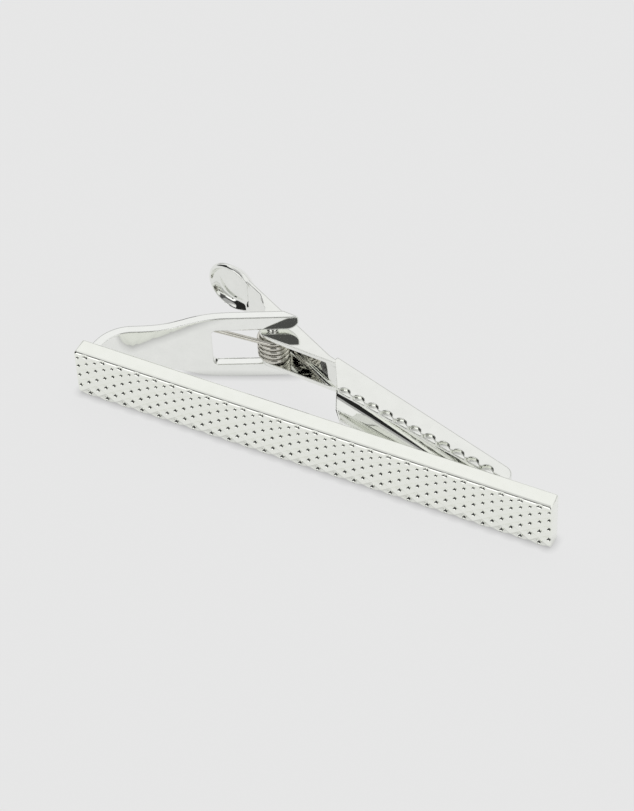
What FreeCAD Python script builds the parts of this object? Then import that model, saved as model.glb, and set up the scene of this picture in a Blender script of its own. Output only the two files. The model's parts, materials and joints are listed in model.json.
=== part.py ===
# Tie clip: a dimpled bar, a bent fork arm soldered behind it, and a toothed
# lever that a torsion spring closes about a hinge pin.
# Millimetres. X runs along the bar, Y from its dimpled face to the back, Z up.
# The origin is the middle of the bar's lower edge.
import FreeCAD, Part
import math
import os

from FreeCAD import Placement, Rotation, Vector

# Bar
bar_length = 55.0
bar_height = 6.5
bar_thickness = 2.07
bar_edge_round = 0.14

# Dimples: a diamond lattice whose rows open out towards the lower edge
dimple_pitch = 1.047
dimple_first_step = 0.49
dimple_step_growth = 0.048
dimple_depth = 0.26
dimple_rise = 0.04
dimple_width_share = 0.82
dimple_height_share = 0.82

# Fork arm: it stands square on the bar's back, bends and ends in two prongs
arm_thickness = 0.95
bend_inset = 1.05
bend_radius = 3.73
bend_height = 5.5
flare_start = 14.5
flare_end = 4.5
flare_share = 0.5
rail_height = 1.85
slot_reach = 6.6
slot_corner_round = 0.6
prong_reach = 2.95
prong_corner_round = 0.35
prong_bevel = 1.65

# Hinge pin, shouldered, with a tenon in each prong
pin_from_end = 17.63
pin_behind_bar = 10.26
pin_diameter = 1.1
tenon_diameter = 0.45
tenon_length = 1.2

# Lever: one folded sheet with a finger dish, ears on the pin and a toothed jaw
sheet = 0.5
sheet_bend_round = 0.35
fold_round = 0.5
lever_height = 4.6
jaw_height = 5.7
tail_angle = 27.6
tail_depth = 1.34
flange_reach = 5.0
ear_wall = 0.85
ear_heel = 3.0
knee_reach = 7.0
neck_length = 1.2
neck_depth = 0.6
jaw_length = 25.9
heel_reach = 4.2
heel_depth = 3.5
toe_depth = 1.53
toe_land = 1.2
nose_round = 1.2
tooth_pitch = 1.84
notch_radius = 0.8
notch_depth = 0.55
jaw_lip = 0.3
dish_reach = 9.83
dish_radius = 3.2
dish_depth = 0.85
dish_lip = 0.15
dish_wall_slope = 45.0
dish_corner_round = 0.3
dish_turn = 17.0
dish_lap = 0.85

# Torsion spring, wound on the pin with a leg on the arm and a leg on the lever
wire_diameter = 0.42
coil_diameter = 3.56
coil_full_turns = 3
arm_leg_overlap = 0.8
lever_leg_length = 5.5

# Clearances
running_clearance = 0.05
tenon_clearance = 0.01
seat_clearance = 0.05
coil_end_clearance = 0.1
coil_web_gap = 0.28
slot_side_gap = 0.35
overrun = 1.0

# Places and sizes that follow from those above
up = Vector(0, 0, 1)
mid_height = bar_height / 2
bar_front = -bar_thickness / 2
bar_back = bar_thickness / 2
bar_left = -bar_length / 2
pin_place = Vector(bar_left + pin_from_end, bar_back + pin_behind_bar, mid_height)
pin_radius = pin_diameter / 2
wire_radius = wire_diameter / 2
coil_radius = coil_diameter / 2 - wire_radius
slot_height = lever_height + 2 * slot_side_gap
arm_height = slot_height + 2 * rail_height
ear_radius = pin_radius + ear_wall
web_gap = coil_diameter / 2 + coil_web_gap + sheet
bend_centre_x = bar_left + bend_inset + arm_thickness + bend_radius
bend_centre = Vector(bend_centre_x, bar_back, mid_height)


def arm_angle():
    # The arm's middle plane holds the pin axis and is tangent to the bend.
    span = pin_place - bend_centre
    line = math.degrees(math.atan2(span.y, span.x))
    return line - math.degrees(math.asin((bend_radius + arm_thickness / 2) / span.Length))


def turned(place, degrees):
    return Placement(place, Rotation(up, degrees))


def polar(radius, degrees):
    angle = math.radians(degrees)
    return Vector(radius * math.cos(angle), radius * math.sin(angle), 0)


def prism(edges, half_height):
    # Closed plan outline, drawn at height zero, grown evenly up and down.
    face = Part.Face(Part.Wire(edges))
    face.translate(up * -half_height)
    return face.extrude(up * (2 * half_height))


def lines(points):
    return [Part.LineSegment(a, b).toShape() for a, b in zip(points, points[1:])]


def arc(centre, radius, first, last):
    points = [centre + polar(radius, angle) for angle in (first, (first + last) / 2, last)]
    return Part.Arc(*points).toShape()


def tangent_angle(point, radius, side):
    # Polar angle of the place where a line from the point touches a circle round zero.
    reach = math.degrees(math.acos(radius / point.Length))
    return math.degrees(math.atan2(point.y, point.x)) + side * reach


def dimple(x, z, half_width, rise, fall):
    # A four sided pit: its mouth lies just outside the face, its point inside the bar.
    spread = (dimple_depth + dimple_rise) / dimple_depth
    y = bar_front - dimple_rise
    mouth = [
        Vector(x - half_width * spread, y, z),
        Vector(x, y, z - fall * spread),
        Vector(x + half_width * spread, y, z),
        Vector(x, y, z + rise * spread),
    ]
    point = Vector(x, bar_front + dimple_depth, z)
    faces = [Part.Face(Part.makePolygon(mouth + mouth[:1]))]
    for a, b in zip(mouth, mouth[1:] + mouth[:1]):
        faces.append(Part.Face(Part.makePolygon([a, b, point, a])))
    return Part.Solid(Part.Shell(faces))


def dimple_lattice():
    columns = int(bar_length / dimple_pitch)
    first_x = -columns * dimple_pitch / 2
    half_width = dimple_width_share * dimple_pitch
    pits = []
    row = 0
    z = bar_height
    step = dimple_first_step
    while z > 0:
        rise = dimple_height_share * (step - dimple_step_growth)
        fall = dimple_height_share * step
        for column in range(row % 2, columns + 1, 2):
            pits.append(dimple(first_x + column * dimple_pitch, z, half_width, rise, fall))
        z -= step
        step += dimple_step_growth
        row += 1
    return Part.makeCompound(pits)


def front_bar():
    corner = Vector(bar_left, bar_front, 0)
    block = Part.makeBox(bar_length, bar_thickness, bar_height, corner)
    block = block.makeFillet(bar_edge_round, block.Edges)
    return block.cut(dimple_lattice())


def arm_panel():
    # Side view of the panel: X along the arm from the pin, Y stands for height.
    start = (bend_centre - pin_place).dot(polar(1, arm_angle()))
    low, high = bend_height / 2, arm_height / 2
    slot = slot_height / 2
    corner = prong_corner_round
    tip = rail_height - corner
    bow = flare_share * (flare_start - flare_end)

    def flare(side):
        poles = [
            Vector(-flare_start, side * low, 0),
            Vector(-flare_start + bow, side * low, 0),
            Vector(-flare_end - bow, side * high, 0),
            Vector(-flare_end, side * high, 0),
        ]
        curve = Part.BezierCurve()
        curve.setPoles(poles)
        return curve.toShape()

    def prong(side):
        # From the panel's outer edge round the tip to the slot's closed end.
        outer = Vector(prong_reach - corner, side * high, 0)
        edges = lines([Vector(-flare_end, side * high, 0), outer])
        edges.append(arc(outer - Vector(0, side * corner, 0), corner, side * 90, 0))
        edges.append(arc(Vector(prong_reach - tip, side * (slot + tip), 0), tip, 0, -side * 90))
        inner = Vector(slot_corner_round - slot_reach, side * slot, 0)
        edges += lines([Vector(prong_reach - tip, side * slot, 0), inner])
        centre = Vector(slot_corner_round - slot_reach, side * (slot - slot_corner_round), 0)
        edges.append(arc(centre, slot_corner_round, side * 90, side * 180))
        return edges

    closed_end = slot - slot_corner_round
    edges = lines([Vector(start, low, 0), Vector(start, -low, 0), Vector(-flare_start, -low, 0)])
    edges += [flare(-1)] + prong(-1)
    edges += lines([Vector(-slot_reach, -closed_end, 0), Vector(-slot_reach, closed_end, 0)])
    edges += prong(1) + [flare(1)]
    edges += lines([Vector(-flare_start, low, 0), Vector(start, low, 0)])
    panel = prism(Part.__sortEdges__(edges), arm_thickness / 2)
    panel.rotate(Vector(0, 0, 0), Vector(1, 0, 0), 90)
    # The prong ends thin to an edge on the side of the bar.
    beyond = arm_thickness / 2 + overrun
    lean = prong_bevel / arm_thickness
    middle = prong_reach - prong_bevel / 2
    wedge = [
        Vector(middle + lean * beyond, -beyond, 0),
        Vector(middle - lean * beyond, beyond, 0),
        Vector(middle + lean * beyond, beyond, 0),
    ]
    panel = panel.cut(prism(lines(wedge + wedge[:1]), arm_height))
    panel.Placement = turned(pin_place, arm_angle()).multiply(panel.Placement)
    return panel


def fork_arm():
    sweep = 90 - arm_angle()
    base = bend_centre - up * (bend_height / 2)
    bend = Part.makeCylinder(bend_radius + arm_thickness, bend_height, base, up, sweep)
    bend = bend.cut(Part.makeCylinder(bend_radius, bend_height, base, up))
    bend.rotate(bend_centre, up, 90 + arm_angle())

    arm = arm_panel().fuse(bend).removeSplitter()
    for side in (-1, 1):
        base = pin_place + up * (side * slot_height / 2)
        arm = arm.cut(Part.makeCylinder(
            tenon_diameter / 2 + tenon_clearance, tenon_length + tenon_clearance, base, up * side))
    return arm


def hinge_pin():
    base = pin_place - up * (slot_height / 2)
    pin = Part.makeCylinder(pin_radius, slot_height, base)
    length = slot_height + 2 * tenon_length
    tenon = Part.makeCylinder(tenon_diameter / 2, length, base - up * tenon_length)
    return pin.fuse(tenon).removeSplitter()


def knee_place():
    # Plan place, from the pin, where the web turns from the tail to the jaw.
    return Vector(knee_reach, web_gap, 0)


def jaw_angle():
    # The jaw lies at the slope that sets its nose on the back of the bar.
    knee = turned(pin_place, -tail_angle).multVec(knee_place())
    drop = knee.y - bar_back - seat_clearance
    reach = math.hypot(jaw_length, toe_depth)
    return math.degrees(math.asin(drop / reach) - math.atan2(toe_depth, jaw_length))


def round_back(solid, half_height, corners, radius):
    # Rounds the sheet's folds: the upper and lower edges that join the listed corners.
    def is_corner(vertex):
        flat = Vector(vertex.X, vertex.Y, 0)
        return any(flat.distanceToPoint(c) < tenon_clearance for c in corners)

    folds = []
    for edge in solid.Edges:
        ends = edge.Vertexes
        level = all(abs(abs(v.Z) - half_height) < tenon_clearance for v in ends)
        if level and all(is_corner(v) for v in ends):
            folds.append(edge)
    return solid.makeFillet(radius, folds)


def tail_channel():
    # Tail, ears and neck, in the tail's own plan: X towards the jaw, Y to the back.
    half = lever_height / 2
    turn = tail_angle - jaw_angle()
    knee = knee_place()
    along, across = polar(1, turn), polar(1, turn + 90)
    neck_back = knee + along * neck_length
    neck_front = neck_back - across * neck_depth
    tail_end = -dish_reach
    front = web_gap - tail_depth
    heel = Vector(-ear_heel, front, 0)
    first = tangent_angle(neck_front, ear_radius, -1)
    last = tangent_angle(heel, ear_radius, 1) - 360
    back = [Vector(tail_end, web_gap, 0), knee, neck_back]
    edges = lines(back + [neck_front, polar(ear_radius, first)])
    edges.append(arc(Vector(0, 0, 0), ear_radius, first, last))
    bare = [Vector(-flange_reach, web_gap - sheet, 0), Vector(tail_end, web_gap - sheet, 0)]
    edges += lines([polar(ear_radius, last), heel] + bare + back[:1])
    body = round_back(prism(edges, half), half, back, sheet_bend_round)

    inner_knee = knee + Vector(sheet * math.tan(math.radians(turn / 2)), -sheet, 0)
    far = ear_radius + overrun
    inner_end = inner_knee + along * (neck_length + overrun)
    pocket = [
        Vector(tail_end - overrun, web_gap - sheet, 0),
        inner_knee,
        inner_end,
        Vector(inner_end.x, -far, 0),
        Vector(tail_end - overrun, -far, 0),
    ]
    hollow = prism(lines(pocket + pocket[:1]), half - sheet)
    body = body.cut(round_back(hollow, half - sheet, pocket[:3], fold_round))
    bore = Part.makeCylinder(pin_radius + running_clearance, lever_height + 2 * overrun)
    bore.translate(up * -(half + overrun))
    body = body.cut(bore)
    body.Placement = turned(pin_place, -tail_angle)
    return body


def jaw_channel():
    # Jaw, in its own plan: X from the knee to the nose, Y to the back.
    half = jaw_height / 2
    heel = Vector(heel_reach, -heel_depth, 0)
    toe = Vector(jaw_length, -toe_depth, 0)
    start = Vector(neck_length, 0, 0)
    shoulder = Vector(jaw_length - nose_round, 0, 0)
    nose = Vector(jaw_length, -nose_round, 0)
    nose_centre = shoulder - Vector(0, nose_round, 0)
    edges = lines([toe, heel, Vector(neck_length, -neck_depth, 0), start, shoulder])
    edges.append(arc(nose_centre, nose_round, 90, 0))
    edges += lines([nose, toe])
    body = round_back(prism(edges, half), half, [start, shoulder, nose, toe], sheet_bend_round)

    inner = nose_round - sheet
    far = heel_depth + overrun
    inner_half = half - sheet - jaw_lip
    back = [
        Vector(neck_length - overrun, -sheet, 0),
        nose_centre + Vector(0, inner, 0),
        nose_centre + Vector(inner, 0, 0),
        Vector(jaw_length - sheet, -far, 0),
    ]
    pocket = lines(back[2:] + [Vector(neck_length - overrun, -far, 0)] + back[:2])
    pocket.append(arc(nose_centre, inner, 90, 0))
    body = body.cut(round_back(prism(pocket, inner_half), inner_half, back, fold_round))

    edge = toe - heel
    outward = Vector(edge.y, -edge.x, 0).normalize()
    forward = Vector(edge).normalize()
    count = int((edge.Length - toe_land) / tooth_pitch)
    # The notches stop at a straight lip on each flange's inner side.
    notches = []
    for index in range(count):
        centre = heel + forward * ((index + 0.5) * tooth_pitch)
        centre += outward * (notch_radius - notch_depth)
        for side in (-1, 1):
            base = centre + up * (side * (half - sheet))
            notches.append(Part.makeCylinder(notch_radius, sheet + overrun, base, up * side))
    body = body.cut(notches)
    knee = turned(pin_place, -tail_angle).multVec(knee_place())
    body.Placement = turned(knee, -jaw_angle())
    return body


def dish_frame():
    floor = Vector(-dish_reach, web_gap - sheet, 0)
    centre = turned(pin_place, -tail_angle).multVec(floor)
    upright = Placement(Vector(), Rotation(Vector(1, 0, 0), 90))
    return turned(centre, dish_turn - tail_angle).multiply(upright)


def finger_dish():
    # Half section turned about Z, which then points from the dish towards the bar.
    slope = math.radians(dish_wall_slope)
    rim = dish_radius - dish_lip
    floor = rim - dish_depth / math.tan(slope)
    back = floor + sheet * math.tan(slope / 2)
    shoulder = (dish_radius - back) * math.tan(slope) - sheet
    section = [(0, 0), (floor, 0), (rim, dish_depth), (dish_radius, dish_depth)]
    section += [(dish_radius, shoulder), (back, -sheet), (0, -sheet), (0, 0)]
    outline = lines([Vector(radius, 0, height) for radius, height in section])
    dish = Part.Face(Part.Wire(outline)).revolve(Vector(0, 0, 0), up, 360)

    def at_floor(edge):
        box = edge.BoundBox
        flat = max(abs(box.ZMin), abs(box.ZMax)) < tenon_clearance
        return flat and abs(box.XMax - floor) < tenon_clearance

    dish = dish.makeFillet(dish_corner_round, [edge for edge in dish.Edges if at_floor(edge)])
    dish.Placement = dish_frame()
    return dish


def clamp_lever():
    # The web laps the dish's near side and stops there, so the dish stays open.
    end = dish_radius - dish_lip - dish_lap
    corner = Vector(end - 2 * dish_reach, -lever_height, -dish_reach)
    open_end = Part.makeBox(2 * dish_reach, 2 * lever_height, 2 * dish_reach, corner)
    open_end.Placement = dish_frame()
    tail = tail_channel().cut(open_end)
    return tail.fuse([jaw_channel(), finger_dish()]).removeSplitter()


def biarc(start, start_way, end, end_way):
    # Two arcs, tangent to each other, from one place and heading to the next.
    span = end - start
    both = start_way + end_way
    spread = 2 * (1 - start_way.dot(end_way))
    pull = span.dot(both)
    reach = (math.sqrt(pull * pull + spread * span.dot(span)) - pull) / spread
    middle = (start + end + (start_way - end_way) * reach) * 0.5

    def single(first, way, last):
        chord = last - first
        rise = way - chord * (way.dot(chord) / chord.dot(chord))
        half_turn = math.asin(min(1, rise.Length / way.Length))
        crown = (first + last) * 0.5 + rise.normalize() * (chord.Length / 2 * math.tan(half_turn / 2))
        return Part.Arc(first, crown, last).toShape()

    return [single(start, start_way, middle), single(end, end_way * -1, middle)]


def spring_path():
    inner_half = lever_height / 2 - sheet - coil_end_clearance - wire_radius
    # The arm's leg runs from the front of the coil to behind the slot's closed end.
    corner = Vector(-slot_reach, arm_thickness / 2, 0)
    lift = math.degrees(math.acos((coil_radius + wire_radius + seat_clearance) / corner.Length))
    arm_way = arm_angle() + math.degrees(math.atan2(-corner.y, -corner.x)) + lift - 90
    # The lever's leg runs from the back of the coil to the web of the tail.
    seat = web_gap - sheet - wire_radius - seat_clearance - coil_radius
    lever_way = 180 - tail_angle - math.degrees(math.asin(seat / lever_leg_length))
    first = arm_way - 90
    sweep = lever_way - arm_way + 360 * coil_full_turns
    count = math.ceil(sweep / 90)

    def at(share):
        drop = up * (inner_half * (1 - 2 * share))
        return pin_place + polar(coil_radius, first + sweep * share) + drop

    def way(share):
        flat = polar(1, first + sweep * share + 90)
        if share in (0, 1):
            return flat
        slope = 2 * inner_half / (math.radians(sweep) * coil_radius)
        return (flat - up * slope).normalize()

    reach = math.sqrt(corner.Length ** 2 - (corner.Length * math.cos(math.radians(lift))) ** 2)
    edges = lines([at(0) - way(0) * (reach + arm_leg_overlap), at(0)])
    for index in range(count):
        a, b = index / count, (index + 1) / count
        edges += biarc(at(a), way(a), at(b), way(b))
    edges += lines([at(1), at(1) + way(1) * lever_leg_length])
    return Part.Wire(edges)


def least_gap(path):
    # Smallest clear distance between stretches of wire more than half a turn apart.
    points = path.discretize(Distance=wire_radius)
    skip = int(math.pi * coil_radius / wire_radius)
    gap = path.Length
    for index, point in enumerate(points):
        for other in points[index + skip:]:
            gap = min(gap, point.distanceToPoint(other))
    return gap - wire_diameter


def torsion_spring():
    path = spring_path()
    start = path.OrderedVertexes[0].Point
    way = path.OrderedVertexes[1].Point - start
    profile = Part.Wire(Part.makeCircle(wire_radius, start, way))
    pipe = Part.BRepOffsetAPI.MakePipeShell(path)
    pipe.add(profile)
    pipe.build()
    pipe.makeSolid()
    spring = pipe.shape()
    section = math.pi * wire_radius ** 2
    print("spring wire length", round(path.Length, 2), "least gap", round(least_gap(path), 3))
    print("spring volume", round(spring.Volume, 3), "section times length", round(section * path.Length, 3))
    return spring


pieces = {
    "front_bar": front_bar,
    "fork_arm": fork_arm,
    "hinge_pin": hinge_pin,
    "clamp_lever": clamp_lever,
    "torsion_spring": torsion_spring,
}

os.makedirs("parts", exist_ok=True)
print("arm angle", round(arm_angle(), 2), "jaw angle", round(jaw_angle(), 2))
for name, make in pieces.items():
    shape = make()
    print(name, "solids", len(shape.Solids), "valid", shape.isValid(), "volume", round(shape.Volume, 2))
    shape.exportStep(os.path.join("parts", name + ".step"))
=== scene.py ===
import json
import math

import bpy
import numpy as np
from mathutils import Matrix, Vector


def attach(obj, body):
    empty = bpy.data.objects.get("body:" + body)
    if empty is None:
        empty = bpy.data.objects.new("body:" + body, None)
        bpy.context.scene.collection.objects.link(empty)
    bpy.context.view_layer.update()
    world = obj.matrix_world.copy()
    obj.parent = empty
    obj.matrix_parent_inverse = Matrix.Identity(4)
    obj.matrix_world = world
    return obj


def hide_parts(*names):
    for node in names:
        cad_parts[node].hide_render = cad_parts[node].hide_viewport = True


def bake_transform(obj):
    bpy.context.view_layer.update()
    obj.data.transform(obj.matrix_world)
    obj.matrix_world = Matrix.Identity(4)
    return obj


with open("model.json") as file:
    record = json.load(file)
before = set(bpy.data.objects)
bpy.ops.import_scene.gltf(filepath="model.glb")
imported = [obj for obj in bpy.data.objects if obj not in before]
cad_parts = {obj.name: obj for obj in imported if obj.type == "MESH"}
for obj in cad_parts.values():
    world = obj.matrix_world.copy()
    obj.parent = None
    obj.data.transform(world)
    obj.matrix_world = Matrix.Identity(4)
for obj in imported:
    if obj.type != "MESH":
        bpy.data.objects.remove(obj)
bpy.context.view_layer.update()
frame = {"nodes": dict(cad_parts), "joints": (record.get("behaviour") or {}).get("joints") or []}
mm = 0.001
pin = np.array(frame["joints"][0]["pos_m"]) / mm    # middle of the hinge, in mm as all sizes below
print("frame loaded:", sorted(frame["nodes"]))


# small helpers for objects and meshes
def clearSelection():
    bpy.ops.object.select_all(action="DESELECT")


def pick(piece):
    clearSelection()
    piece.select_set(True)
    bpy.context.view_layer.objects.active = piece


def applyPlace(piece):
    pick(piece)
    bpy.ops.object.transform_apply(location=True, rotation=True, scale=True)


def applyModifier(piece, kind, **settings):
    pick(piece)
    modifier = piece.modifiers.new(kind.title(), kind)
    for name, value in settings.items():
        setattr(modifier, name, value)
    bpy.ops.object.modifier_apply(modifier=modifier.name)


def vertexArray(piece):
    flat = np.empty(len(piece.data.vertices) * 3)
    piece.data.vertices.foreach_get("co", flat)
    return flat.reshape(-1, 3)


def moveVertices(piece, places):
    piece.data.vertices.foreach_set("co", places.ravel())
    piece.data.update()


def selectNothing(piece, kind):
    # a selection inside the mesh starts from nothing
    pick(piece)
    bpy.ops.object.mode_set(mode="EDIT")
    bpy.ops.mesh.select_mode(type=kind)
    bpy.ops.mesh.select_all(action="DESELECT")
    bpy.ops.object.mode_set(mode="OBJECT")


def extrudeEdges(x, y, z):
    bpy.ops.mesh.extrude_edges_move(TRANSFORM_OT_translate={"value": (x * mm, y * mm, z * mm)})


def faceOutwards(piece, smoothAngle):
    pick(piece)
    bpy.ops.object.mode_set(mode="EDIT")
    bpy.ops.mesh.select_all(action="SELECT")
    bpy.ops.mesh.normals_make_consistent(inside=False)
    bpy.ops.object.mode_set(mode="OBJECT")
    bpy.ops.object.shade_smooth_by_angle(angle=math.radians(smoothAngle))


def finishPiece(piece, node, metal):
    piece.data.materials.clear()
    piece.data.materials.append(metal)
    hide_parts(node)
    print("made", piece.name, len(piece.data.polygons), "faces")


# small helpers for shader nodes
def feed(socket, value):
    # a socket takes a plain value or follows another node's output
    if isinstance(value, bpy.types.NodeSocket):
        socket.id_data.links.new(value, socket)
    else:
        socket.default_value = value


def addNode(tree, kind, inputs, **settings):
    node = tree.nodes.new(kind)
    for name, value in settings.items():
        setattr(node, name, value)
    for name, value in inputs.items():
        feed(node.inputs[name], value)
    return node


def grey(level):
    return (level, level, level, 1)


# metals: tint and polish wander in soft clouds, the sheet ripples a little, and worn edges are rounder
finishes = {
    "barPlating": {"tint": (0.955, 0.97, 0.915), "shade": (0.93, 0.945, 0.885), "roughness": 0.05,
                   "wander": 0.02, "waviness": 0.06, "grain": 900, "wornEdge": 0},
    "armPlating": {"tint": (0.95, 0.96, 0.93), "shade": (0.92, 0.93, 0.9), "roughness": 0.05,
                   "wander": 0.02, "waviness": 0.1, "grain": 700, "wornEdge": 0.25},
    "leverPlating": {"tint": (0.91, 0.92, 0.885), "shade": (0.87, 0.88, 0.845), "roughness": 0.05,
                     "wander": 0.02, "waviness": 0.1, "grain": 700, "wornEdge": 0.2},
    "pinSteel": {"tint": (0.86, 0.86, 0.84), "shade": (0.8, 0.8, 0.78), "roughness": 0.12,
                 "wander": 0.04, "waviness": 0.1, "grain": 1500, "wornEdge": 0},
    "springSteel": {"tint": (0.72, 0.7, 0.65), "shade": (0.62, 0.6, 0.55), "roughness": 0.07,
                    "wander": 0.02, "waviness": 0.1, "grain": 1500, "wornEdge": 0},
}
sheetLook = {
    "cloudDetail": 3.0, "shadeAt": 0.3, "tintAt": 0.7,
    "rippleShare": 0.5, "rippleDetail": 1.0, "rippleHeight": 0.1, "wornSamples": 8,
}


def metalMaterial(name, finish):
    material = bpy.data.materials.new(name)
    material.use_nodes = True
    tree = material.node_tree
    place = addNode(tree, "ShaderNodeTexCoord", {})
    cloud = addNode(tree, "ShaderNodeTexNoise", {
        "Scale": finish["grain"], "Detail": sheetLook["cloudDetail"], "Vector": place.outputs["Object"]})
    colours = addNode(tree, "ShaderNodeValToRGB", {"Fac": cloud.outputs["Fac"]})
    for element, end in zip(colours.color_ramp.elements, ("shade", "tint")):
        element.position = sheetLook[end + "At"]
        element.color = (*finish[end], 1)
    polish = addNode(tree, "ShaderNodeMapRange", {
        "To Min": finish["roughness"] - finish["wander"],
        "To Max": finish["roughness"] + finish["wander"],
        "Value": cloud.outputs["Fac"]})
    ripple = addNode(tree, "ShaderNodeTexNoise", {
        "Scale": finish["grain"] * sheetLook["rippleShare"], "Detail": sheetLook["rippleDetail"],
        "Vector": place.outputs["Object"]})
    bump = addNode(tree, "ShaderNodeBump", {
        "Strength": finish["waviness"], "Distance": sheetLook["rippleHeight"] * mm,
        "Height": ripple.outputs["Fac"]})
    if finish["wornEdge"]:
        # polishing has rounded the cut edges a little further than their modelled break
        worn = addNode(tree, "ShaderNodeBevel", {"Radius": finish["wornEdge"] * mm},
                       samples=sheetLook["wornSamples"])
        feed(bump.inputs["Normal"], worn.outputs["Normal"])
    shader = tree.nodes["Principled BSDF"]
    feed(shader.inputs["Metallic"], 1.0)
    feed(shader.inputs["Base Color"], colours.outputs["Color"])
    feed(shader.inputs["Roughness"], polish.outputs["Result"])
    feed(shader.inputs["Normal"], bump.outputs["Normal"])
    return material


metals = {name: metalMaterial(name, finish) for name, finish in finishes.items()}
print("materials made:", sorted(metals))


# the bar: a front shell that rolls over at its top, foot and ends, then straight sides and a flat back
bar = {
    "length": 55.0, "height": 6.5, "thickness": 2.07,
    "topRound": 0.45, "endRound": 0.16, "rearRound": 0.16, "cornerRound": 0.28,
    "footRound": 0.1, "footScallop": 0.6,
    "columns": 850, "rows": 104, "endSteps": 4, "topSteps": 10, "footSteps": 8, "rearSteps": 2,
    "pitch": 1.047, "latticeTop": 6.63, "firstStep": 0.49, "stepGrowth": 0.048, "lastRow": 9,
    "plateShare": 0.185, "plateRim": 0.35, "pitRow": 1.0,
    "pitWide": 0.37, "pitTall": 0.33, "pitDepth": 0.42, "topMarkWide": 1.8, "smoothAngle": 60.0,
}


def rowNumber(z):
    # rows of the lattice counted down from its top, each a little taller than the one above
    growth = bar["stepGrowth"]
    first = bar["firstStep"] - growth / 2
    below = np.maximum(bar["latticeTop"] - z, 0)
    return (np.sqrt(first * first + 2 * growth * below) - first) / growth


def columnNumber(x):
    # columns of the lattice counted from the left end, evenly about the middle of the bar
    return x / bar["pitch"] + int(bar["length"] / bar["pitch"]) / 2


def dimpleDepth(x, z):
    # shallow diamond plates, each with a pointed pit at its middle, in every second place of the lattice
    u, v = columnNumber(x), rowNumber(z)
    depth = np.zeros_like(x)
    for du in (0, 1):
        for dv in (0, 1):
            column, row = np.floor(u) + du, np.floor(v) + dv
            aside, along = np.abs(u - column), np.abs(v - row)
            rowTall = bar["firstStep"] + bar["stepGrowth"] * (row - 0.5)
            plate = np.clip((1 - aside - along) / bar["plateRim"], 0, 1) * rowTall * bar["plateShare"]
            # the top row, on the rolled edge, has no plates and wider marks
            plate = np.where(row > 1, plate, 0)
            grown = np.sqrt(rowTall / bar["pitRow"])    # pits grow with their rows
            pitWide = bar["pitWide"] * grown * np.where(row == 1, bar["topMarkWide"], 1)
            pitTall = bar["pitTall"] * grown
            far = np.hypot(aside * bar["pitch"] / pitWide, along * rowTall / pitTall)
            pit = np.maximum(1 - far, 0) * bar["pitDepth"] * grown
            stamped = (np.mod(column + row, 2) == 0) & (row >= 1) & (row <= bar["lastRow"])
            depth = np.maximum(depth, np.where(stamped, plate + pit, 0))
    return depth


def rolled(index, count, lowSteps, highSteps):
    # share of the flat between two rolled edges, and the angle of the roll
    knots = [0, lowSteps, count - highSteps, count]
    share = np.interp(index, knots, [0, 0, 1, 1])
    return share, np.radians(np.interp(index, knots, [-90, 0, 0, 90]))


def shapeFace(piece):
    grid = vertexArray(piece)
    columns, rows = bar["columns"], bar["rows"]
    flatX, turnX = rolled(np.round(grid[:, 0] * columns), columns, bar["endSteps"], bar["endSteps"])
    flatZ, turnZ = rolled(np.round(grid[:, 1] * rows), rows, bar["footSteps"], bar["topSteps"])
    end, top = bar["endRound"], bar["topRound"]
    x = (flatX - 0.5) * (bar["length"] - 2 * end) + end * np.sin(turnX)
    # the foot rolls in further between the lowest pits, so its outline is scalloped
    foot = bar["footRound"] + bar["footScallop"] * np.cos(np.pi * columnNumber(x) / 2) ** 2
    roll = np.where(turnZ > 0, top, foot)
    level = foot + flatZ * (bar["height"] - top - foot)
    deep = dimpleDepth(x, level + roll * turnZ) * np.cos(turnX)
    front = end * (1 - np.cos(turnX)) - bar["thickness"] / 2
    y = front + roll * (1 - np.cos(turnZ)) + deep * np.cos(turnZ)
    z = level + (roll - deep) * np.sin(turnZ)
    # the upper corners of the outline are rounded off, so the top runs over into the ends
    corner = bar["cornerRound"]
    out, over = np.abs(x) - bar["length"] / 2 + corner, z - bar["height"] + corner
    cut = (out > 0) & (over > 0)
    out, over = out[cut], over[cut]
    pull = 1 - np.maximum(out, over) / np.hypot(out, over)
    x[cut] -= np.sign(x[cut]) * out * pull
    z[cut] -= over * pull
    moveVertices(piece, np.stack([x, y, z], axis=1) * mm)


def closeBack(piece):
    # the border goes straight back, rounds the rear edge and closes
    length, height, thickness = bar["length"], bar["height"], bar["thickness"]
    rear, steps = bar["rearRound"], bar["rearSteps"]
    pick(piece)
    bpy.ops.object.mode_set(mode="EDIT")
    bpy.ops.mesh.select_all(action="SELECT")
    bpy.ops.mesh.region_to_loop()
    extrudeEdges(0, thickness, 0)
    bpy.ops.transform.resize(value=(1, 0, 1), center_override=(0, (thickness / 2 - rear) * mm, 0))
    turns = [math.pi / 2 * step / steps for step in range(steps + 1)]
    for turn, nextTurn in zip(turns, turns[1:]):
        inset, nextInset = (2 * rear * (1 - math.cos(angle)) for angle in (turn, nextTurn))
        extrudeEdges(0, rear * (math.sin(nextTurn) - math.sin(turn)), 0)
        bpy.ops.transform.resize(
            value=((length - nextInset) / (length - inset), 1, (height - nextInset) / (height - inset)),
            center_override=(0, 0, height / 2 * mm))
    bpy.ops.mesh.edge_face_add()
    bpy.ops.object.mode_set(mode="OBJECT")


def makeBar():
    clearSelection()
    bpy.ops.mesh.primitive_grid_add(
        x_subdivisions=bar["columns"], y_subdivisions=bar["rows"], size=1, calc_uvs=False,
        location=(0.5, 0.5, 0))
    piece = bpy.context.object
    piece.name = "dimpledBar"
    applyPlace(piece)
    shapeFace(piece)
    closeBack(piece)
    faceOutwards(piece, bar["smoothAngle"])
    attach(piece, "clip_body")
    finishPiece(piece, "front_bar", metals["barPlating"])


makeBar()


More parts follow.
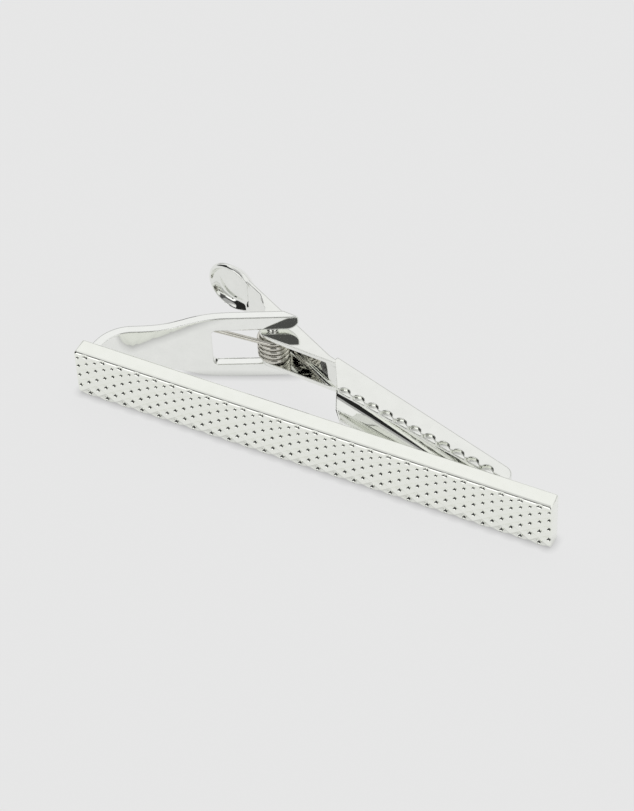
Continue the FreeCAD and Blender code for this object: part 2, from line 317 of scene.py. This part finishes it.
# the jaw's lower flange rolls out of the web in a fold that is roomy at the heel and tight at the nose
jaw = {
    "tailWay": -27.6, "knee": (7.0, 2.56), "way": -17.47,
    "webY": -0.5, "flangeZ": 1.2, "cadFold": 0.5, "heel": 3.0, "nose": 25.4,
    "heelFold": 2.2, "noseFold": 0.9, "heelSlope": 0.82, "fall": 1.5,
    "foldNear": 0.02, "faceNear": 0.01,
}


def fromPin(along, across):
    # a place measured from the pin along the lever's tail and across it
    tail = math.radians(jaw["tailWay"])
    x = pin[0] + along * math.cos(tail) - across * math.sin(tail)
    y = pin[1] + along * math.sin(tail) + across * math.cos(tail)
    return x, y


def rollFlange(piece):
    way = math.radians(jaw["way"])
    kneeX, kneeY = fromPin(*jaw["knee"])
    web, face, r = jaw["webY"], jaw["flangeZ"], jaw["cadFold"]
    places = vertexArray(piece) / mm
    dx, dy, z = places[:, 0] - kneeX, places[:, 1] - kneeY, places[:, 2]
    along = dx * math.cos(way) + dy * math.sin(way)
    across = dy * math.cos(way) - dx * math.sin(way)
    # points of the fold, by their place on its arc
    side, rise = across - (web - r), z - (face + r)
    onArc = np.abs(np.hypot(side, rise) - r) < jaw["foldNear"]
    onFold = onArc & (side > -jaw["faceNear"]) & (rise < jaw["faceNear"]) & (along > 0)
    share = np.clip((along - jaw["heel"]) / (jaw["nose"] - jaw["heel"]), 0, 1)
    wide = jaw["heelFold"] + (jaw["noseFold"] - jaw["heelFold"]) * share
    newAcross = np.where(onFold, web - wide + side / r * wide, across)
    newZ = np.where(onFold, face + wide + rise / r * wide, z)
    # at the heel the fold ends on the slanting cut of the neck
    newAlong = along + np.where(along < jaw["heel"], (across - newAcross) * jaw["heelSlope"], 0)
    # the flange beyond the fold falls away a little towards its toothed edge
    onFlange = np.abs(z - face) < jaw["faceNear"]
    fall = np.maximum(web - newAcross, 0) * math.tan(math.radians(jaw["fall"]))
    newZ -= np.where(onFlange, fall, 0)
    places[:, 0] = kneeX + newAlong * math.cos(way) - newAcross * math.sin(way)
    places[:, 1] = kneeY + newAlong * math.sin(way) + newAcross * math.cos(way)
    places[:, 2] = newZ
    moveVertices(piece, places * mm)
    print("jaw fold points:", int(onFold.sum()), "flange points:", int(onFlange.sum()))


# the finger dish: a pressed cup with a round wall and a rolled rim, open where the lever laps it
dish = {
    "reach": -9.83, "seat": 2.06, "axisWay": -100.6, "bottom": 2.076, "cone": 2.2,
    "radius": 3.2, "rim": 3.05, "depth": 0.85, "near": 0.04, "rimCuts": 8,
    "wallTop": (2.88, 0.83), "wallSweep": 80.0, "roll": 0.45, "rollFrom": 34.0, "lap": 2.0, "fade": 0.5,
}


def dishPlaces(piece):
    # distance from the cup's axis, height along it, place along the lever, and the two directions
    way = math.radians(dish["axisWay"])
    axis = np.array([math.cos(way), math.sin(way), 0])
    side = np.array([-math.sin(way), math.cos(way), 0])
    offset = vertexArray(piece) / mm - np.array([*fromPin(dish["reach"], dish["seat"]), pin[2]])
    height = offset @ axis
    spoke = offset - height[:, None] * axis
    radius = np.linalg.norm(spoke, axis=1)
    outward = spoke / np.maximum(radius, dish["near"])[:, None]
    return radius, height, offset @ side, outward, axis


def cutRim(piece):
    # the rim's upright edges are divided, so that it can be rolled
    radius, height = dishPlaces(piece)[:2]
    onRim = (np.abs(radius - dish["radius"]) < dish["near"]) & (height > 0)
    selectNothing(piece, "EDGE")
    count = 0
    for edge in piece.data.edges:
        a, b = edge.vertices
        if onRim[a] and onRim[b] and abs(height[a] - height[b]) > dish["roll"]:
            edge.select = True
            count += 1
    bpy.ops.object.mode_set(mode="EDIT")
    bpy.ops.mesh.subdivide(number_cuts=dish["rimCuts"])
    bpy.ops.object.mode_set(mode="OBJECT")
    print("dish rim edges:", count)


def cupDish(piece):
    cutRim(piece)
    radius, height, along, outward, axis = dishPlaces(piece)
    near, bottom, rim, depth, roll = (dish[name] for name in ("near", "bottom", "rim", "depth", "roll"))
    # the straight wall becomes an arc
    topRadius, topHeight = dish["wallTop"]
    onCone = np.abs(height - np.maximum(radius - dish["cone"], 0)) < near
    onWall = onCone & (radius > bottom - near) & (radius < rim + near)
    sweep = math.radians(dish["wallSweep"])
    turn = np.clip((radius - bottom) / (rim - bottom), 0, 1) * sweep
    wallRadius = bottom + (topRadius - bottom) * np.sin(turn) / math.sin(sweep)
    wallHeight = topHeight * (1 - np.cos(turn)) / (1 - math.cos(sweep))
    # the upright rim rolls inwards at its top
    onRim = (np.abs(radius - dish["radius"]) < near) & (height > depth - roll)
    climb = (height - depth + roll) / roll
    turn = np.radians(90 - climb * (90 - dish["rollFrom"]))
    rimRadius = dish["radius"] + roll * (np.sin(turn) - 1)
    rimHeight = depth + roll * (np.cos(turn) - 1)
    newRadius = np.where(onRim, rimRadius, np.where(onWall, wallRadius, radius))
    newHeight = np.where(onRim, rimHeight, np.where(onWall, wallHeight, height))
    # both fade out where the lever laps the cup
    share = np.clip((dish["lap"] - along) / dish["fade"], 0, 1)
    outBy, upBy = (newRadius - radius) * share, (newHeight - height) * share
    move = outward * outBy[:, None] + axis * upBy[:, None]
    moveVertices(piece, vertexArray(piece) + move * mm)
    print("dish wall points:", int(onWall.sum()), "rim points:", int(onRim.sum()))


# stamped and turned pieces: the frame's own form with its cut edges broken
cutPieces = {
    "fork_arm": {"piece": "forkArm", "body": "clip_body", "slot": "arm_plating",
                 "metal": "armPlating", "broken": 0.1},
    "clamp_lever": {"piece": "clampLever", "body": "lever", "slot": "lever_plating",
                    "metal": "leverPlating", "broken": 0.06},
    "hinge_pin": {"piece": "hingePin", "body": "clip_body", "slot": "pin_steel",
                  "metal": "pinSteel", "broken": 0.04},
}
brokenEdge = {"segments": 3, "sharpAngle": 40.0, "smoothAngle": 45.0, "mergeGap": 0.0005, "flatAngle": 0.3}


def frameCopy(node, name):
    source = frame["nodes"][node]
    piece = source.copy()
    piece.data = source.data.copy()
    piece.name = name
    piece.parent = None
    for key in list(piece.keys()):    # the frame's own marks stay with its node
        del piece[key]
    bpy.context.scene.collection.objects.link(piece)
    pick(piece)
    bpy.ops.object.mode_set(mode="EDIT")
    bpy.ops.mesh.select_all(action="SELECT")
    bpy.ops.mesh.remove_doubles(threshold=brokenEdge["mergeGap"] * mm)
    bpy.ops.mesh.customdata_custom_splitnormals_clear()
    bpy.ops.mesh.dissolve_limited(angle_limit=math.radians(brokenEdge["flatAngle"]))
    bpy.ops.object.mode_set(mode="OBJECT")
    return piece


def makeCutPiece(node, spec):
    piece = frameCopy(node, spec["piece"])
    if node == "clamp_lever":
        rollFlange(piece)
        cupDish(piece)
    applyModifier(piece, "BEVEL", width=spec["broken"] * mm, segments=brokenEdge["segments"],
                  limit_method="ANGLE", angle_limit=math.radians(brokenEdge["sharpAngle"]),
                  use_clamp_overlap=True, miter_outer="MITER_ARC")
    bpy.ops.object.shade_smooth_by_angle(angle=math.radians(brokenEdge["smoothAngle"]))
    applyModifier(piece, "WEIGHTED_NORMAL", keep_sharp=True)
    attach(piece, spec["body"])
    finishPiece(piece, node, metals[spec["metal"]])


for node, spec in cutPieces.items():
    makeCutPiece(node, spec)


# the torsion spring: a close coil on the pin, with a straight leg at each end
spring = {
    "radius": 1.52, "wire": 0.5, "turns": 4, "room": 3.6, "endGap": 0.06,
    "armWay": 4.1, "leverWay": 151.0, "armLeg": 7.2, "leverLeg": 5.5,
    "ring": 14, "ringShare": 0.505, "stepsPerTurn": 40, "smoothAngle": 50.0,
}


def makeLeg(piece, coilWay, level, legWay, reach):
    # the end ring of the coil, at one level, is drawn out straight and closed
    angle, way = math.radians(coilWay - 90), math.radians(legWay)
    spot = np.array([
        pin[0] + spring["radius"] * math.cos(angle), pin[1] + spring["radius"] * math.sin(angle), level])
    selectNothing(piece, "VERT")
    away = np.linalg.norm(vertexArray(piece) / mm - spot, axis=1)
    endRing = np.nonzero(away < spring["wire"] * spring["ringShare"])[0]
    for index in endRing:
        piece.data.vertices[int(index)].select = True
    bpy.ops.object.mode_set(mode="EDIT")
    bpy.ops.mesh.select_mode(type="EDGE")
    extrudeEdges(reach * math.cos(way), reach * math.sin(way), 0)
    bpy.ops.mesh.edge_face_add()
    bpy.ops.object.mode_set(mode="OBJECT")
    print("spring leg from a ring of", len(endRing))


def makeSpring():
    wire, armWay, leverWay = spring["wire"], spring["armWay"], spring["leverWay"]
    sweep = leverWay - armWay + 360 * spring["turns"]
    count = round(sweep / 360 * spring["stepsPerTurn"])
    top = pin[2] + spring["room"] / 2 - spring["endGap"] - wire / 2
    foot = top - 2 * (top - pin[2])
    clearSelection()
    bpy.ops.mesh.primitive_circle_add(
        vertices=spring["ring"], radius=wire / 2 * mm, fill_type="NOTHING",
        location=(spring["radius"] * mm, 0, 0), rotation=(math.pi / 2, 0, 0))
    piece = bpy.context.object
    piece.name = "torsionSpring"
    applyPlace(piece)
    applyModifier(piece, "SCREW", angle=math.radians(sweep), screw_offset=(foot - top) * mm, steps=count,
                  render_steps=count, use_smooth_shade=True, use_merge_vertices=False)
    piece.rotation_euler = (0, 0, math.radians(armWay - 90))
    piece.location = (pin[0] * mm, pin[1] * mm, top * mm)
    applyPlace(piece)
    makeLeg(piece, armWay, top, armWay + 180, spring["armLeg"])
    makeLeg(piece, leverWay, foot, leverWay, spring["leverLeg"])
    faceOutwards(piece, spring["smoothAngle"])
    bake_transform(piece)
    finishPiece(piece, "torsion_spring", metals["springSteel"])


makeSpring()


# the floor touches the bar's lower edge and the arm's lower prong
floor = {
    "size": 4.0, "albedo": 0.86, "glow": 0.816, "glowShare": 0.92, "clear": 0.02,
    # reach and depth of the painted contact shadow that darkens the floor's glow near the metal
    "paintedShadowReach": 0.9, "paintedContactShadow": 0.48,
}


def floorMaterial():
    material = bpy.data.materials.new("paleFloor")
    material.use_nodes = True
    tree = material.node_tree
    matte = tree.nodes["Principled BSDF"]
    feed(matte.inputs["Base Color"], grey(floor["albedo"]))
    feed(matte.inputs["Roughness"], 1.0)
    feed(matte.inputs["Specular IOR Level"], 0.0)
    # seen straight on or in the metal, the floor glows evenly and keeps a paler shadow,
    # and ambient occlusion darkens the glow where the metal meets it: a painted contact shadow
    contact = addNode(tree, "ShaderNodeAmbientOcclusion", {"Distance": floor["paintedShadowReach"] * mm})
    fade = addNode(tree, "ShaderNodeMapRange", {
        "To Min": 1 - floor["paintedContactShadow"], "Value": contact.outputs["AO"]})
    glow = addNode(tree, "ShaderNodeEmission", {
        "Color": grey(floor["glow"]), "Strength": fade.outputs["Result"]})
    ray = addNode(tree, "ShaderNodeLightPath", {})
    seen = addNode(tree, "ShaderNodeMath", {
        0: ray.outputs["Is Camera Ray"], 1: ray.outputs["Is Glossy Ray"]}, operation="MAXIMUM")
    share = addNode(tree, "ShaderNodeMath", {
        0: seen.outputs[0], 1: floor["glowShare"]}, operation="MULTIPLY")
    mix = addNode(tree, "ShaderNodeMixShader", {
        "Fac": share.outputs[0], 1: matte.outputs["BSDF"], 2: glow.outputs["Emission"]})
    feed(tree.nodes["Material Output"].inputs["Surface"], mix.outputs["Shader"])
    return material


def makeFloor():
    # the steepest line from the bar's front edge to a point of the arm that hangs below it sets the tilt
    front = bar["thickness"] / 2
    arm = vertexArray(frame["nodes"]["fork_arm"]) / mm
    hang = arm[arm[:, 2] < 0]
    tilt = math.atan(np.max(-hang[:, 2] / (hang[:, 1] + front)))
    clearSelection()
    bpy.ops.mesh.primitive_plane_add(
        size=floor["size"], location=(0, -front * mm, -floor["clear"] * mm), rotation=(-tilt, 0, 0))
    piece = bpy.context.object
    piece.name = "paleFloor"
    piece.data.materials.append(floorMaterial())
    print("floor laid, tilted by", round(math.degrees(tilt), 2), "degrees")


makeFloor()


# light: a bright surround with darker fields and one white card, where a later field covers an earlier one
tent = {
    "sky": 0.9, "backdrop": 0.791,
    "fields": [    # "at" is azimuth and elevation, "half" is half the width and height
        {"level": 0.55, "at": (0.0, 90.0), "half": (0.3, 0.3), "soft": 0.5},          # overhead
        {"level": 0.5, "at": (-160.0, 10.0), "half": (0.9, 0.2), "soft": 0.3},        # low behind
        {"level": 1.3, "at": (-15.0, 26.0), "half": (0.36, 0.24), "soft": 0.06},      # white card
        {"level": 0.08, "at": (0.0, 48.5), "half": (0.58, 0.15), "soft": 0.06},       # above the card
        {"level": 0.4, "at": (0.0, 66.0), "half": (0.6, 0.14), "soft": 0.1},          # higher in front
        {"level": 0.08, "at": (32.0, 30.0), "half": (0.3, 0.45), "soft": 0.06},       # right of the card
        {"level": 0.02, "at": (-68.0, 25.0), "half": (0.48, 0.392), "soft": 0.02},    # left of the card
    ],
}


def fieldMask(tree, place, field):
    # one inside a four sided patch of the surround, zero outside it
    az, el = (math.radians(angle) for angle in field["at"])
    sideways = Vector((math.cos(az), math.sin(az), 0))
    upward = Vector((-math.sin(az) * math.sin(el), math.cos(az) * math.sin(el), math.cos(el)))
    offsets = {}
    for index, (way, half) in enumerate(zip((sideways, upward), field["half"])):
        dot = addNode(tree, "ShaderNodeVectorMath", {
            0: place.outputs["Generated"], 1: way / half}, operation="DOT_PRODUCT")
        offset = addNode(tree, "ShaderNodeMath", {0: dot.outputs["Value"]}, operation="ABSOLUTE")
        offsets[index] = offset.outputs[0]
    far = addNode(tree, "ShaderNodeMath", offsets, operation="MAXIMUM")
    mask = addNode(tree, "ShaderNodeMapRange", {
        "From Min": 1 + field["soft"], "From Max": 1 - field["soft"], "Value": far.outputs[0]})
    return mask.outputs["Result"]


def makeTent():
    world = bpy.data.worlds.new("tent")
    bpy.context.scene.world = world
    world.use_nodes = True
    tree = world.node_tree
    tree.nodes.clear()
    place = addNode(tree, "ShaderNodeTexCoord", {})
    level = tent["sky"]
    for field in tent["fields"]:
        mix = addNode(tree, "ShaderNodeMix", {
            "Factor": fieldMask(tree, place, field), "A": level, "B": field["level"]})
        level = mix.outputs["Result"]
    light = addNode(tree, "ShaderNodeBackground", {"Color": grey(1), "Strength": level})
    backdrop = addNode(tree, "ShaderNodeBackground", {"Color": grey(tent["backdrop"])})
    ray = addNode(tree, "ShaderNodeLightPath", {})
    mix = addNode(tree, "ShaderNodeMixShader", {
        "Fac": ray.outputs["Is Camera Ray"], 1: light.outputs["Background"],
        2: backdrop.outputs["Background"]})
    addNode(tree, "ShaderNodeOutputWorld", {"Surface": mix.outputs["Shader"]})
    print("surround made with", len(tent["fields"]), "fields")


makeTent()


# the camera, fitted to the photograph's view
lens = {
    "place": (97.634, -185.143, 238.226), "azimuth": 27.579, "elevation": 47.614, "roll": -3.084,
    "pixels": 3000.0, "width": 634.0, "sensor": 36.0, "clipStart": 0.01, "clipEnd": 10.0,
}


def makeCamera():
    az, el, roll = (math.radians(lens[name]) for name in ("azimuth", "elevation", "roll"))
    back = Vector((math.sin(az) * math.cos(el), -math.cos(az) * math.cos(el), math.sin(el)))
    right = Vector((math.cos(az), math.sin(az), 0))
    up = back.cross(right)
    turnedRight = right * math.cos(roll) + up * math.sin(roll)
    turnedUp = up * math.cos(roll) - right * math.sin(roll)
    data = bpy.data.cameras.new("photoCamera")
    data.sensor_fit = "HORIZONTAL"
    data.sensor_width = lens["sensor"]
    data.lens = lens["pixels"] / lens["width"] * lens["sensor"]
    data.clip_start = lens["clipStart"]
    data.clip_end = lens["clipEnd"]
    camera = bpy.data.objects.new("photoCamera", data)
    bpy.context.scene.collection.objects.link(camera)
    turn = Matrix((turnedRight, turnedUp, back)).transposed().to_4x4()
    camera.matrix_world = Matrix.Translation(Vector(lens["place"]) * mm) @ turn
    bpy.context.scene.camera = camera


makeCamera()
bpy.context.scene.view_settings.view_transform = "Standard"

print("scene ready")
